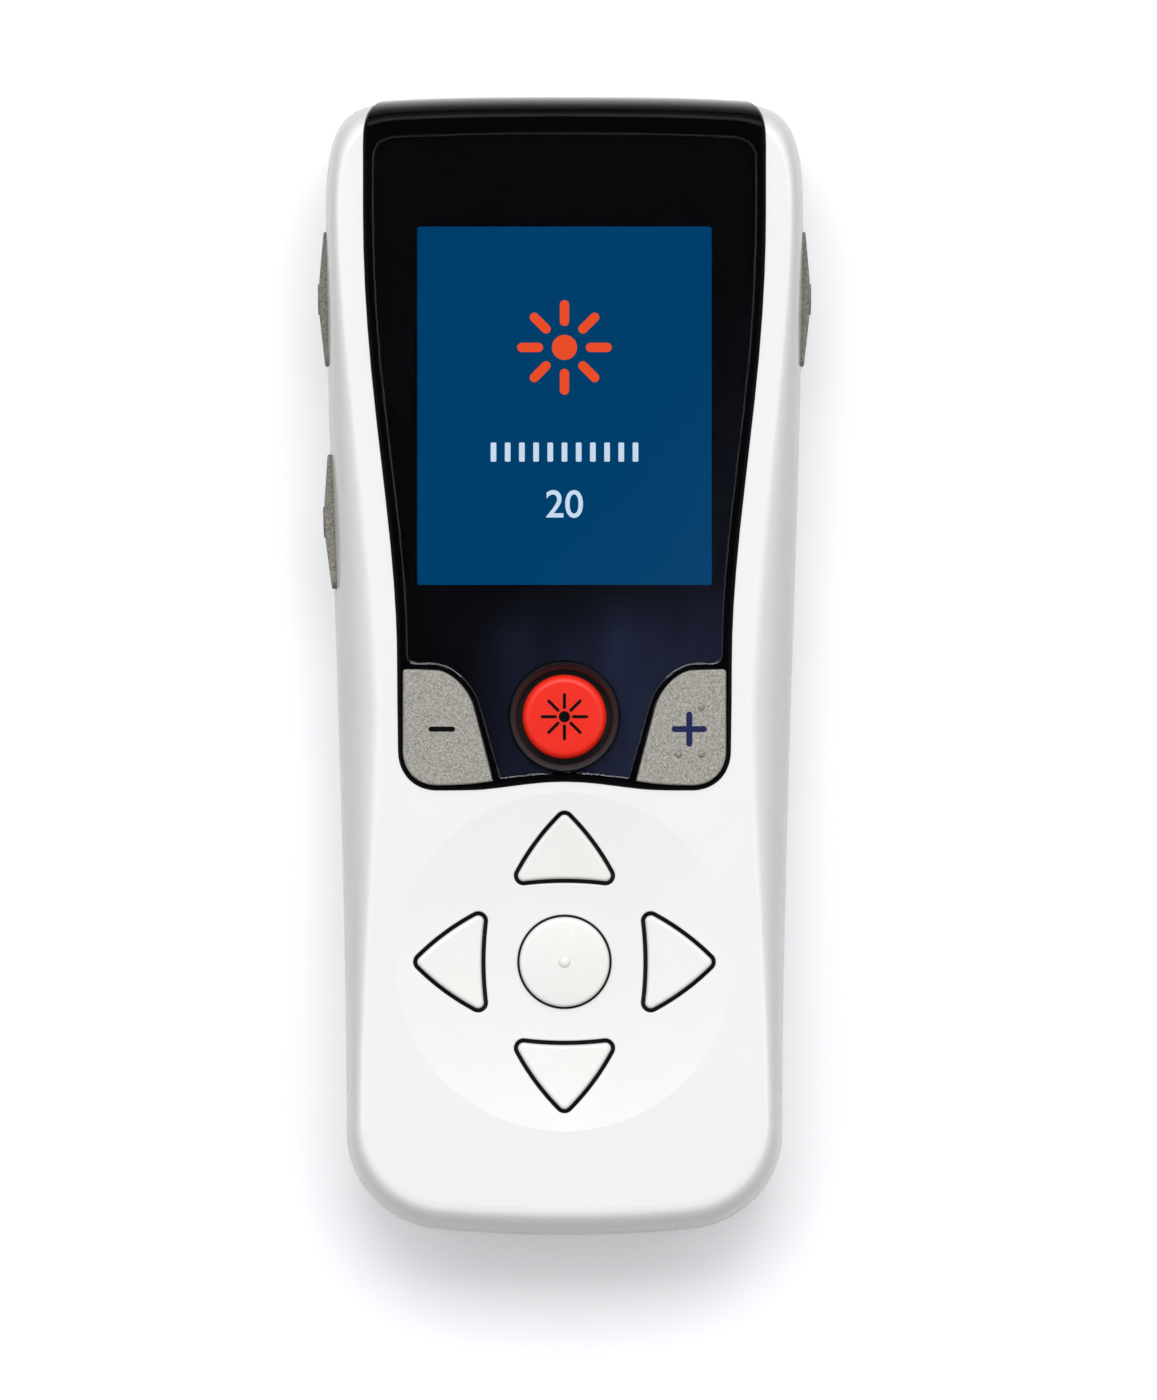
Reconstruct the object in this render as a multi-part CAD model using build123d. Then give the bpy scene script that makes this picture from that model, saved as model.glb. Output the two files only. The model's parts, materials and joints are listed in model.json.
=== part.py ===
"""Handheld nerve stimulator with a colour display, a keypad and two output sockets.

Millimetres. The unit lies on its back: +Z points out of the keypad face, +Y towards the display end,
and the origin is under the middle of the unit, on the plane that it rests on.
"""
from build123d import *
import math
import os

# ---- Overall size -------------------------------------------------------------------------------
HALF_LENGTH = 62.7
PARTING_Z = 10.0          # the plane where the front and rear housings meet
PARTING_GAP = 0.1
FRONT_Z = 20.5            # white front face
BEZEL_Z = 20.8            # black bezel stands a little proud of it
WALL = 1.9
BACK_ROLL = 4.0           # how far the rolled back edge reaches in from the silhouette
BACK_POWER = 2.2          # superellipse power of the back edge's section
# The front flanks' section is a superellipse too: a tight roll at both ends, a slanted face at the waist.
END_POWER = 2.4
WAIST_POWER = 1.7
WAIST_Y = -4.0
WAIST_REACH = 27.0
SECTION_SPREAD = 1.3      # above 1 puts more of the loft's sections near the parting plane
INNER_TOP_Z = FRONT_Z - WALL
CUT_Y = -70               # beyond the bottom end; cutting blocks start there
PART_LINE_Y = 59          # the bezel's rim is rounded up to here, where the rolled end takes over
BEZEL_GROWTH = 0.3        # the bezel's flanks stand this far outside the body's
BEZEL_ROUNDING = 0.3
BEZEL_LIP = (-1.2, 0.8)   # the lip under the front wall: its outer and inner inset from the bezel's outline
BEZEL_LIP_Z = (17.8, INNER_TOP_Z - 0.1)

# Right halves of the plan outlines, as cubic Bezier spans from the top centre round to the bottom centre.
SILHOUETTE = [
    ((0, 62.4), (8, 62.4), (13.5, 62.38), (19.5, 62.0)),
    ((19.5, 62.0), (25.0, 61.65), (26.3, 58.5), (26.3, 50)),
    ((26.3, 50), (26.3, 34), (25.5, 13), (24.93, -5)),
    ((24.93, -5), (24.5, -19), (24.0, -36), (24.0, -51.5)),
    ((24.0, -51.5), (24.0, -57.0), (19.5, -61.5), (14, -62.05)),
    ((14, -62.05), (9.3, -62.5), (4.7, -HALF_LENGTH), (0, -HALF_LENGTH)),
]
# Where the flanks meet the flat front: a waisted line that follows the bezel.
RIDGE = [
    ((0, 60.0), (8, 60.0), (13, 59.95), (18.5, 59.6)),
    ((18.5, 59.6), (23, 59.3), (24.6, 57.0), (24.6, 50)),
    ((24.6, 50), (24.6, 36), (20.1, 12), (20.1, -5)),
    ((20.1, -5), (20.1, -17), (21.95, -34), (22.0, -49)),
    ((22.0, -49), (22.05, -54.8), (18.6, -58.5), (13, -58.95)),
    ((13, -58.95), (8.5, -59.3), (4.5, -59.4), (0, -59.4)),
]
# The black bezel; its top runs past the body, which cuts it to the rolled end.
BEZEL = [
    ((0, 64), (8, 64), (14, 63.7), (19.0, 62.6)),
    ((19.0, 62.6), (21.0, 62.2), (22.05, 60.9), (22.05, 57.5)),
    ((22.05, 57.5), (22.05, 55), (22.05, 52.5), (22.05, 50)),
    ((22.05, 50), (22.05, 30), (18.3, 16), (18.3, 0)),
    ((18.3, 0), (18.3, -3), (18.25, -6), (18.2, -9.4)),
    ((18.2, -9.4), (18.15, -11.9), (16.4, -13.6), (14.0, -13.6)),
    ((14.0, -13.6), (12.0, -13.6), (10.5, -13.6), (9.0, -13.5)),
    ((9.0, -13.5), (6.0, -13.25), (3.5, -12.65), (0, -12.65)),
]
# The clear lens, which narrows between the minus and plus keys.
LENS = [
    ((0, 58.6), (7, 58.6), (13, 58.5), (18.5, 58.2)),
    ((18.5, 58.2), (20.3, 58.1), (21.15, 57.2), (21.15, 55.5)),
    ((21.15, 55.5), (21.15, 53.5), (21.15, 51.8), (21.15, 50)),
    ((21.15, 50), (21.15, 30), (17.4, 16), (17.4, 1.4)),
    ((17.4, 1.4), (17.4, 0.6), (17.0, 0.15), (16.2, 0.15)),
    ((16.2, 0.15), (15.6, 0.15), (15.1, 0.15), (14.5, 0.15)),
    ((14.5, 0.15), (12.6, 0.15), (10.2, -1.75), (9.5, -4.15)),
    ((9.5, -4.15), (8.7, -6.9), (7.9, -9.7), (7.1, -12.4)),
    ((7.1, -12.4), (4.8, -12.15), (2.5, -11.85), (0, -11.85)),
]
# The plus key, a closed loop; the minus key is its mirror image.
CORNER_KEY = [
    ((14.2, -0.45), (15.3, -0.42), (16.4, -0.35), (17.35, -0.35)),
    ((17.35, -0.35), (17.6, -0.35), (17.75, -0.5), (17.75, -0.75)),
    ((17.75, -0.75), (17.75, -3.5), (17.75, -6.5), (17.75, -9.4)),
    ((17.75, -9.4), (17.7, -11.6), (16.2, -13.12), (14.0, -13.12)),
    ((14.0, -13.12), (11.8, -13.12), (9.8, -13.0), (7.85, -12.65)),
    ((7.85, -12.65), (8.5, -10.0), (9.2, -7.4), (9.9, -4.7)),
    ((9.9, -4.7), (10.55, -2.2), (12.7, -0.45), (14.2, -0.45)),
]

# ---- Display ------------------------------------------------------------------------------------
LENS_Z = (19.5, 20.65)
LENS_BEVEL = 0.22
LENS_FIT = 0.08           # gap all round the lens in its recess
SURROUND_FIT = 0.06       # gap between the lens and the ring round the stimulation key
LENS_SEAT_Z = 19.4
FILM_Z = (LENS_SEAT_Z, 19.48)
VIEW_HALF_WIDTH = 16.15   # opening in the black printed film, which frames the image
VIEW_Y = (8.9, 48.25)
WINDOW_MARGIN = 0.6       # the bezel's opening is this much larger all round
LCD_HALF_WIDTH = 17.4
LCD_Y = (4.8, 52.0)
LCD_Z = (15.45, 18.4)

# ---- Keypad -------------------------------------------------------------------------------------
PAD_Y = -32.5             # centre of the navigation pad
DISH_RADIUS = 18.6
DISH_DEPTH = 1.4
DISH_SPHERE = (DISH_RADIUS**2 + DISH_DEPTH**2) / (2 * DISH_DEPTH)
ARROW_GAP = 0.42
ARROW_LIFT = 0.5          # arrow keys follow the dish, this far above it
CORNER_KEY_GAP = 0.15
CORNER_KEY_TOP_Z = 20.9
CORNER_KEY_ROUNDING = 0.22
CORNER_LIP_X = 12.3       # middle of the minus and plus keys' lips, which stop short of the outer side wall
PLUS_DOTS = [(12.5, -9.65), (15.0, -9.65), (15.0, -4.5)]
PLUS_DOT_RADIUS = 0.5
KEY_TRAVEL = 0.7
FLANGE_Z = (17.4, 18.3)   # the lip that keeps a key from falling out, under the front wall
FLANGE_REACH = 0.3        # how far that lip extends past the key's opening
STIM_Y = -5.57
STIM_RADIUS = 4.62
STIM_TOP_Z = 21.35
STIM_SHOULDER = 0.85
SURROUND_RADIUS = 6.0
SURROUND_BORE = 5.2
SURROUND_TOP_Z = 20.95
SELECT_RADIUS = 4.95
SELECT_BORE = 5.15
SELECT_TOP_Z = 20.15
BOARD_Z = (14.2, 15.4)
MAT_Z = (15.45, 16.2)
BOOT_TOP_Z = 17.35
NUB_Z = 16.25
# name: centre of the silicone boot under the key, and its base radius
BOOTS = {
    "stimulation": ((0, STIM_Y), 4.4),
    "minus": ((-13.2, -6.9), 3.4),
    "plus": ((13.2, -6.9), 3.4),
    "up": ((0, PAD_Y + 11.3), 3.2),
    "down": ((0, PAD_Y - 11.3), 3.2),
    "left": ((-11.3, PAD_Y), 3.2),
    "right": ((11.3, PAD_Y), 3.2),
    "select": ((0, PAD_Y), 4.2),
}
CAP_ROUNDING = 0.4
ARROW_ANGLES = {"up": 0, "left": 90, "down": 180, "right": 270}

# ---- Side keys: name: (side, centre Y, silhouette X there, tilt in degrees) -------------------------
SIDE_KEYS = {
    "left_upper_side": (-1, 40.4, 26.22, 0.7),
    "left_lower_side": (-1, 15.9, 25.62, 1.9),
    "right_side": (1, 40.4, 26.22, 0.7),
}
SIDE_Z = 10.25
SIDE_HALF_LENGTH = 7.4
SIDE_HALF_HEIGHT = 3.2
SIDE_PROUD = 0.75
SIDE_NUB_Z = 12.2
SWITCH_HALF_WIDTH = 3.0
SWITCH_DEPTH = 3.5

# ---- Battery bay and door -----------------------------------------------------------------------
DOOR_BED_HALF_WIDTH = 20.4
DOOR_BED_TOP_Z = 3.3      # thickness of the back round the door
DOOR_BED_MARGIN = 1.8
BAY_HALF_WIDTH = 16.9
BAY_Y = (-43.0, 8.0)
BAY_TOP_Z = 12.4
BAY_WALL = 1.2
DOOR_HALF_WIDTH = 18.0
DOOR_TOP_Y = 9.5
DOOR_THICK = 1.6
DOOR_GAP = 0.12
TONGUE = 0.8
TONGUE_Z = (0.85, 1.55)
CELL_RADIUS = 5.25
CELL_LENGTH = 44.5
CELL_Z = 7.0
CELL_PITCH = 10.75
CONTACT_THICK = 0.4
CONTACT_TAB = 2.0         # width of the tab that runs from a contact plate to the board
CELL_BUTTON = (1.9, 0.9)  # radius and height of a cell's positive end
SPRING_WIRE_RADIUS = 0.3
SPRING_RADIUS = 2.9
GRIP_GROOVES = 4
GRIP_Y = -44
GRIP_PITCH = 2.2
GRIP_RADIUS = 1.1

# ---- Output sockets and fasteners ---------------------------------------------------------------
SOCKET_X = 9.5
SOCKET_Z = 7.0
SOCKET_BORE = 1.8
SOCKET_MOUTH_Y = -62.3
SOCKET_DEPTH = 11.8
SOCKET_BODY_Y = (-58.9, -49.6)
SOCKET_BODY_Z = (3.4, 14.1)
SOCKET_HALF_WIDTH = 4.7
NOSE_RADIUS = 2.45
UPPER_SCREW = (17.0, 55.6)
LOWER_SCREW = (15.2, -47.0)
SCREW_SEAT_Z = 5.0
SCREW_TIP_Z = 15.5
BOSS_RADIUS = 2.4
SCREW_WELL_RADIUS = 3.2
SCREW_HEAD_RADIUS = 1.9
SCREW_RADIUS = 1.0
PILOT_RADIUS = 1.05       # hole in a boss; the screw's thread is drawn plain

# ---- Board and electronics ----------------------------------------------------------------------
BOARD_HALF_WIDTH = 20.3
BOARD_Y = (-49.4, 57.0)
TRANSFORMER_PLACES = [(-8.5, 23.5), (8.5, 23.5)]
TRANSFORMER_SIZE = (12.5, 10.5, 8.0)
# Components that hang from the board. name: centres, width, length, depth
BLOCK_COMPONENTS = {
    "microcontroller": ([(0, 36.5)], 10, 10, 1.4),
    "driver_chips": ([(-10.5, 36.5), (10.5, 36.5)], 5, 6, 1.6),
    "power_inductors": ([(-8, 13.2), (8, 13.2)], 6, 6, 3.0),
    "crystal": ([(0, 29.4)], 3.2, 1.6, 0.9),
}
# Upright cans under the board. name: centres, radius, lowest Z
ROUND_COMPONENTS = {
    "storage_capacitors": ([(-12.5, 48), (12.5, 48)], 3.2, 6.6),
    "buzzer": ([(0, 50)], 6.0, 6.2),
}
GRILLE_Y = 50             # sound holes under the buzzer
GRILLE_RADIUS = 2.6
GRILLE_HOLE_RADIUS = 0.6


# ---- Outline helpers ----------------------------------------------------------------------------
def front_power(y):
    """Superellipse power of the front flanks' section, at a distance along the unit."""
    return END_POWER + (WAIST_POWER - END_POWER) * math.exp(-(((y - WAIST_Y) / WAIST_REACH) ** 2))


def back_power(y):
    return BACK_POWER


def blend(edge, flat, rise, power):
    """The outline at a share of the height between the silhouette and the flat face."""
    spans = []
    for s, t in zip(edge, flat):
        shares = [1 - (1 - rise ** power(y)) ** (1 / power(y)) for _, y in s]
        moved = [Vector(*p) + (Vector(*q) - Vector(*p)) * f for p, q, f in zip(s, t, shares)]
        spans.append(tuple((point.X, point.Y) for point in moved))
    return spans


def inset(chain, distance):
    """A clockwise outline moved inwards by a distance, or outwards where it is negative."""
    spans = [[Vector(*p) for p in span] for span in chain]
    leaving = [(s[1] - s[0]).normalized() for s in spans]
    arriving = [(s[3] - s[2]).normalized() for s in spans]
    closed = spans[0][0] == spans[-1][3]
    first, last = (arriving[-1], leaving[0]) if closed else (leaving[0], arriving[-1])
    tangents = [(a + b).normalized() for a, b in zip([first] + arriving, leaving + [last])]
    moved = []
    for i, s in enumerate(spans):
        start = s[0] + Vector(tangents[i].Y, -tangents[i].X) * distance
        end = s[3] + Vector(tangents[i + 1].Y, -tangents[i + 1].X) * distance
        scale = (end - start).length / (s[3] - s[0]).length
        points = (start, start + (s[1] - s[0]) * scale, end - (s[3] - s[2]) * scale, end)
        moved.append(tuple((p.X, p.Y) for p in points))
    return moved


def ring(chain, z):
    """The closed wire of a half outline and its mirror image, at a height."""
    right = [Bezier(*[Vector(x, y, z) for x, y in span]) for span in chain]
    left = [Bezier(*[Vector(-x, y, z) for x, y in reversed(span)]) for span in reversed(chain)]
    return Wire(right + left)


def prism(chain, z_range):
    """A solid with a mirrored half outline, between two heights."""
    return Part() + Solid.extrude(Face(ring(chain, z_range[0])), Vector(0, 0, z_range[1] - z_range[0]))


def rolled_half(start_z, height, power, edge, flat, wall=0.0):
    """A half of the body, lofted from its widest outline to the flat face, with superelliptic flanks."""
    sections = []
    for degrees in (0, 15, 30, 45, 60, 75, 90):
        rise = math.sin(math.radians(degrees)) ** SECTION_SPREAD
        sections.append(ring(inset(blend(edge, flat, rise, power), wall), start_z + height * rise))
    return Part() + Solid.make_loft(sections)


def block(x_range, y_range, z_range, radius=0.0):
    """An axis-aligned box between limits, with rounded vertical edges."""
    size = [b - a for a, b in (x_range, y_range, z_range)]
    middle = [(a + b) / 2 for a, b in (x_range, y_range, z_range)]
    box = Pos(*middle) * Box(*size)
    return fillet(box.edges().filter_by(Axis.Z), radius) if radius else box


def post(x, y, z_range, radius):
    """An upright cylinder."""
    return Pos(x, y, sum(z_range) / 2) * Cylinder(radius, z_range[1] - z_range[0])


def along_y(x, z, y_range, radius):
    """A cylinder lying along Y."""
    return Pos(x, sum(y_range) / 2, z) * Rot(90, 0, 0) * Cylinder(radius, y_range[1] - y_range[0])


def mirrored_x(shape):
    return mirror(shape, about=Plane.YZ)


def soft_top(solid, radius):
    """Rounds the edges of the topmost face."""
    return fillet(solid.edges().group_by(Axis.Z)[-1], radius)


def dish_sphere(lift=0.0):
    """The ball whose underside is the shallow dish round the navigation pad; its poles lie along Y."""
    ball = Rot(90, 0, 0) * Sphere(DISH_SPHERE)
    return Pos(0, PAD_Y, FRONT_Z - DISH_DEPTH + lift + DISH_SPHERE) * ball


# ---- Key plan shapes ----------------------------------------------------------------------------
def arrow_face(angle):
    """Opening of one arrow key: a triangle with bowed outer sides, a hollow inner side and round corners."""
    apex, corner, bow = Vector(0, 17.0), Vector(6.3, 8.15), 0.55
    side = (corner - apex).normalized()
    side_middle = (apex + corner) / 2 + Vector(-side.Y, side.X) * bow
    base_middle = Vector(0, corner.Y + bow)
    left_corner, left_middle = Vector(-corner.X, corner.Y), Vector(-side_middle.X, side_middle.Y)
    edges = [
        ThreePointArc(apex, side_middle, corner),
        ThreePointArc(corner, base_middle, left_corner),
        ThreePointArc(left_corner, left_middle, apex),
    ]
    face = fillet(make_face(edges).vertices(), 1.05)
    return Pos(0, PAD_Y) * Rot(0, 0, angle) * face


def corner_key_solid(sign, z_range, growth=0.0):
    """Prism with the outline of the plus key, or with sign -1 of the minus key, grown all round."""
    outline = inset(CORNER_KEY, -growth)
    spans = [[Vector(sign * x, y, z_range[0]) for x, y in span[::-sign]] for span in outline[::-sign]]
    face = Face(Wire([Bezier(*span) for span in spans]))
    return Part() + Solid.extrude(face, Vector(0, 0, z_range[1] - z_range[0]))


def raised(face, z_range):
    """A flat face drawn at z 0, extruded between two heights."""
    return extrude(Pos(0, 0, z_range[0]) * face, z_range[1] - z_range[0])


# ---- Keys ---------------------------------------------------------------------------------------
def arrow_key(angle):
    opening = arrow_face(angle)
    stem = raised(offset(opening, amount=-ARROW_GAP), (FLANGE_Z[0], FRONT_Z + 1))
    cap = stem - dish_sphere(lift=ARROW_LIFT)
    cap = fillet(cap.faces().sort_by(Axis.Z)[-1].edges(), CAP_ROUNDING)
    return cap + raised(offset(opening, amount=FLANGE_REACH), FLANGE_Z)


def select_key():
    """Round key with a domed top and a small raised dot that a fingertip can find."""
    flange, crown = SELECT_BORE + FLANGE_REACH, SELECT_RADIUS - 0.5
    top_z, rim_z = SELECT_TOP_Z, SELECT_TOP_Z - 0.7
    corners = [(0, FLANGE_Z[0]), (flange, FLANGE_Z[0]), (flange, FLANGE_Z[1]), (SELECT_RADIUS, FLANGE_Z[1])]
    side = Polyline(*corners, (SELECT_RADIUS, rim_z))
    shoulder = Bezier((SELECT_RADIUS, rim_z), (SELECT_RADIUS, rim_z + 0.4), (crown, rim_z + 0.45))
    dome = Bezier((crown, rim_z + 0.45), (crown / 2, top_z), (0, top_z))
    face = make_face([side, shoulder, dome, Line((0, top_z), (0, FLANGE_Z[0]))])
    body = Pos(0, PAD_Y, 0) * revolve(Plane.XZ * face, Axis.Z)
    dot_radius, dot_height = 0.95, 0.28
    return body + Pos(0, PAD_Y, top_z + dot_height - dot_radius) * Sphere(dot_radius)


def stimulation_key():
    """Round key with a soft shoulder, in the surround between the minus and plus keys."""
    body = soft_top(post(0, STIM_Y, (FLANGE_Z[0], STIM_TOP_Z), STIM_RADIUS), STIM_SHOULDER)
    return body + post(0, STIM_Y, FLANGE_Z, SURROUND_BORE + FLANGE_REACH)


def corner_key(sign):
    """The plus key, marked for touch by three raised dots, or with sign -1 the plain minus key."""
    key = soft_top(corner_key_solid(sign, (FLANGE_Z[0], CORNER_KEY_TOP_Z)), CORNER_KEY_ROUNDING)
    reach = Pos(sign * CORNER_LIP_X, 0, 0) * block((-4.3, 4.3), (-12.2, 0.2), FLANGE_Z)
    key += corner_key_solid(sign, FLANGE_Z, CORNER_KEY_GAP + FLANGE_REACH) & reach
    for x, y in PLUS_DOTS if sign > 0 else ():
        key += Pos(x, y, CORNER_KEY_TOP_Z - PLUS_DOT_RADIUS / 2) * Sphere(PLUS_DOT_RADIUS)
    return key


def boot(name):
    """Silicone boot under a key: a collapsible cone on a base ring, with a conductive nub inside."""
    (x, y), base = BOOTS[name]
    crown = base - 1.1
    profile = Polyline(
        (0, BOOT_TOP_Z), (crown, BOOT_TOP_Z), (base - 0.3, MAT_Z[1]), (base, MAT_Z[1]), (base, MAT_Z[0]),
        (base - 0.75, MAT_Z[0]), (base - 0.75, MAT_Z[1] - 0.1), (crown - 0.3, BOOT_TOP_Z - 0.45),
        (1.2, BOOT_TOP_Z - 0.45), (1.2, NUB_Z), (0, NUB_Z), close=True,
    )
    return Pos(x, y, 0) * revolve(Plane.XZ * make_face(profile), Axis.Z)


def keypad_mat():
    mat = block((-16.9, 16.9), (-49.0, 0.8), MAT_Z, 1.5)
    for (x, y), base in BOOTS.values():
        mat -= post(x, y, (MAT_Z[0] - 1, MAT_Z[1] + 1), base + 0.02)
    x, y = LOWER_SCREW
    for sign in (-1, 1):
        mat -= post(sign * x, y, (MAT_Z[0] - 1, MAT_Z[1] + 1), BOSS_RADIUS + 0.3)
    return mat


def key_surround():
    """Ring in the lens round the stimulation key, with a bevelled mouth."""
    lip, bevel = SURROUND_RADIUS - 0.1, 0.45
    profile = Polyline(
        (SURROUND_BORE, LENS_SEAT_Z), (SURROUND_RADIUS, LENS_SEAT_Z), (SURROUND_RADIUS, SURROUND_TOP_Z - 0.1),
        (lip, SURROUND_TOP_Z), (SURROUND_BORE + 0.05, SURROUND_TOP_Z - bevel),
        (SURROUND_BORE, SURROUND_TOP_Z - bevel - 0.1), close=True,
    )
    return Pos(0, STIM_Y, 0) * revolve(Plane.XZ * make_face(profile), Axis.Z)


# ---- Side keys and their switches ---------------------------------------------------------------
def on_side(name, shape):
    """Places a shape drawn with +X pointing out of the unit's right side, at one of the side keys."""
    side, y, surface_x, tilt = SIDE_KEYS[name]
    placed = Pos(surface_x, y, 0) * Rot(0, 0, -tilt) * shape
    return placed if side > 0 else mirrored_x(placed)


def side_slot():
    """Opening through the side wall for a side key."""
    slot = Pos(-1, 0, SIDE_Z) * Box(4.6, 2 * SIDE_HALF_LENGTH + 0.3, 2 * SIDE_HALF_HEIGHT + 0.3)
    return fillet(slot.edges().filter_by(Axis.X), 0.95)


def side_key():
    """Low roof-shaped key with a round pip in the middle, a retaining lip and a nub for its switch."""
    bar = Pos(-1, 0, SIDE_Z) * Box(4.6, 2 * SIDE_HALF_LENGTH, 2 * SIDE_HALF_HEIGHT)
    bar = fillet(bar.edges().filter_by(Axis.X), 0.8)
    end_x, half = 0.22, SIDE_HALF_LENGTH
    roof = Polyline(
        (-2.65, -half), (end_x, -half), (SIDE_PROUD, -2.1), (SIDE_PROUD, 2.1), (end_x, half), (-2.65, half),
        close=True,
    )
    key = bar & raised(make_face(roof), (0, 20))
    key = fillet(key.edges().filter_by(lambda e: abs(e.center().Y) > half - 0.05 and e.center().X > 0), 0.15)
    pip = Pos(SIDE_PROUD - 0.3, 0, SIDE_Z) * Rot(0, 90, 0) * Cylinder(1.75, 1.0)
    pip = fillet(pip.edges().group_by(Axis.X)[-1], 0.16)
    lip = Pos(-2.9, 0, SIDE_Z) * Box(0.6, 2 * half + 1.7, 2 * SIDE_HALF_HEIGHT - 0.5)
    nub = Pos(-3.55, 0, SIDE_NUB_Z) * Rot(0, 90, 0) * Cylinder(1.1, 0.7)
    return key + pip + lip + nub


def side_plunger():
    return Pos(-4.4, 0, SIDE_NUB_Z) * Box(1.0, 2.4, 1.4)


def side_switch():
    """Body of the right-angle switch under the board, with a pocket that its plunger slides in."""
    outer_x = -4.6
    top = BOARD_Z[0]
    body = block((outer_x - SWITCH_DEPTH, outer_x), (-SWITCH_HALF_WIDTH, SWITCH_HALF_WIDTH), (10.6, top))
    return body - Pos(outer_x - 0.6, 0, SIDE_NUB_Z) * Box(1.6, 2.5, 1.5)


# ---- Housings -----------------------------------------------------------------------------------
FRONT_START = PARTING_Z + PARTING_GAP / 2
REAR_START = PARTING_Z - PARTING_GAP / 2


def front_cavity(clearance=0.0):
    height = INNER_TOP_Z - FRONT_START - clearance
    return rolled_half(FRONT_START, height, front_power, SILHOUETTE, RIDGE, WALL + clearance)


def end_hole(sign):
    """Round opening in the bottom end wall for the nose of an output socket."""
    return along_y(sign * SOCKET_X, SOCKET_Z, (-HALF_LENGTH - 1, SOCKET_BODY_Y[0]), NOSE_RADIUS + 0.1)


def cut_side_slots(shell):
    for name in SIDE_KEYS:
        shell -= on_side(name, side_slot())
    return shell


def screw_boss(x, y, top_z):
    """Boss that a housing screw bites into, hanging from the front."""
    pilot = post(x, y, (FRONT_START, SCREW_TIP_Z + 0.8), PILOT_RADIUS)
    return post(x, y, (FRONT_START, top_z), BOSS_RADIUS) - pilot


def front_housing(cavity):
    shell = rolled_half(FRONT_START, FRONT_Z - FRONT_START, front_power, SILHOUETTE, RIDGE) - cavity
    shell -= dish_sphere()
    shell -= prism(inset(BEZEL, -0.08), (FRONT_START - 1, FRONT_Z + 1))
    for angle in ARROW_ANGLES.values():
        shell -= raised(arrow_face(angle), (INNER_TOP_Z - 1, FRONT_Z + 1))
    shell -= post(0, PAD_Y, (INNER_TOP_Z - 1, FRONT_Z + 1), SELECT_BORE)
    mouths = shell.faces().filter_by(GeomType.SPHERE).sort_by(SortBy.AREA)[-1].inner_wires()
    shell = fillet([edge for wire in mouths for edge in wire.edges()], 0.18)
    for sign in (-1, 1):
        shell += screw_boss(sign * LOWER_SCREW[0], LOWER_SCREW[1], INNER_TOP_Z + 0.4)
    return cut_side_slots(shell)


def display_bezel(cavity):
    """Black frame round the lens and the three upper keys; it also forms the top end of the unit."""
    edge, flat = inset(SILHOUETTE, -BEZEL_GROWTH), inset(RIDGE, -BEZEL_GROWTH)
    proud = rolled_half(FRONT_START, BEZEL_Z - FRONT_START, front_power, edge, flat)
    frame = (proud - cavity) & prism(BEZEL, (FRONT_START - 1, BEZEL_Z + 1))
    rim = [e for e in frame.faces().sort_by(Axis.Z)[-1].outer_wire().edges() if e.center().Y < PART_LINE_Y]
    frame = fillet(rim, BEZEL_ROUNDING)
    inside = prism(inset(BEZEL, BEZEL_LIP[1]), (BEZEL_LIP_Z[0] - 1, LENS_SEAT_Z))
    lip = prism(inset(BEZEL, BEZEL_LIP[0]), BEZEL_LIP_Z) & front_cavity(clearance=0.1)
    neck = prism(inset(BEZEL, 0.02), (BEZEL_LIP_Z[0], INNER_TOP_Z + 0.1)) & cavity
    frame += (lip - inside) + (neck - inside)
    frame -= prism(inset(LENS, -LENS_FIT), (LENS_SEAT_Z, BEZEL_Z + 1))
    below_to_top = BEZEL_LIP_Z[0] - 1, BEZEL_Z + 1
    frame -= block(
        (-VIEW_HALF_WIDTH - WINDOW_MARGIN, VIEW_HALF_WIDTH + WINDOW_MARGIN),
        (VIEW_Y[0] - WINDOW_MARGIN, VIEW_Y[1] + WINDOW_MARGIN), below_to_top, 0.6,
    )
    frame -= post(0, STIM_Y, below_to_top, SURROUND_BORE)
    for sign in (-1, 1):
        frame -= corner_key_solid(sign, below_to_top, CORNER_KEY_GAP)
        frame += screw_boss(sign * UPPER_SCREW[0], UPPER_SCREW[1], INNER_TOP_Z + 0.2)
    return frame


def display_lens():
    bevel_z = LENS_Z[1] - LENS_BEVEL
    bevel = Solid.make_loft([ring(LENS, bevel_z), ring(inset(LENS, LENS_BEVEL), LENS_Z[1])])
    lens = prism(LENS, (LENS_Z[0], bevel_z)) + bevel
    return lens - post(0, STIM_Y, (LENS_Z[0] - 1, LENS_Z[1] + 1), SURROUND_RADIUS + SURROUND_FIT)


def mask_film():
    """Black printed film that bonds the lens to the bezel and frames the image."""
    film = prism(inset(LENS, 0.3), FILM_Z)
    film -= block((-VIEW_HALF_WIDTH, VIEW_HALF_WIDTH), VIEW_Y, (LENS_SEAT_Z - 1, FILM_Z[1] + 1), 0.3)
    film -= post(0, STIM_Y, (LENS_SEAT_Z - 1, FILM_Z[1] + 1), SURROUND_RADIUS + 0.2)
    return Part() + film.solids().sort_by(SortBy.VOLUME)[-1]


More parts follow.
